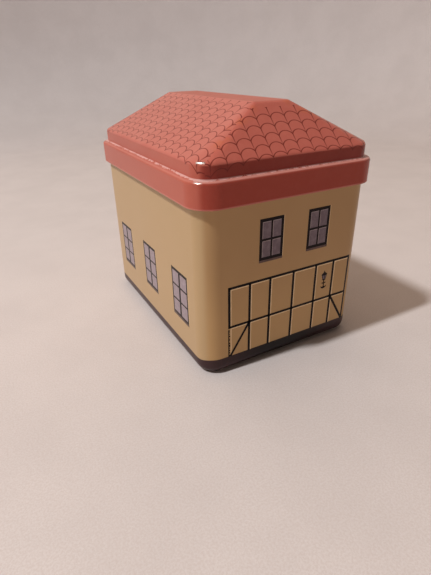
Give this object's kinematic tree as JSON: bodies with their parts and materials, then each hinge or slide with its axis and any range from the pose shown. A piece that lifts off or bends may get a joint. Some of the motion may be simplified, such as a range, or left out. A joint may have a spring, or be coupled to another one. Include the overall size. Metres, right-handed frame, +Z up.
{
  "type": "money box",
  "caption": "House-shaped tin money box: a rectangular tin body with a pull-off lid pressed as a hipped roof with a coin slot.",
  "frame": {"origin": "centre of the foot's ground plane", "axes": "+Z up; the front end wall faces -Y; the long walls face -X and +X"},
  "size_m": [0.1152, 0.1582, 0.1429],
  "materials": {
    "cream_tin": "gloss lacquer over printed cream, with printed windows and timber framing",
    "bare_tin": "plain tinplate",
    "red_tin": "gloss lacquer over printed brick red, with a printed roof tile pattern"
  },
  "bodies": {
    "body": {"body_wall": "cream_tin", "base_plate": "bare_tin"},
    "lid": {"roof_lid": "red_tin"}
  },
  "joints": [
    {"name": "lid_lift", "type": "slide", "parent": "body", "child": "lid", "axis": [0, 0, 1], "range_m": [0, 0.06]}
  ]
}
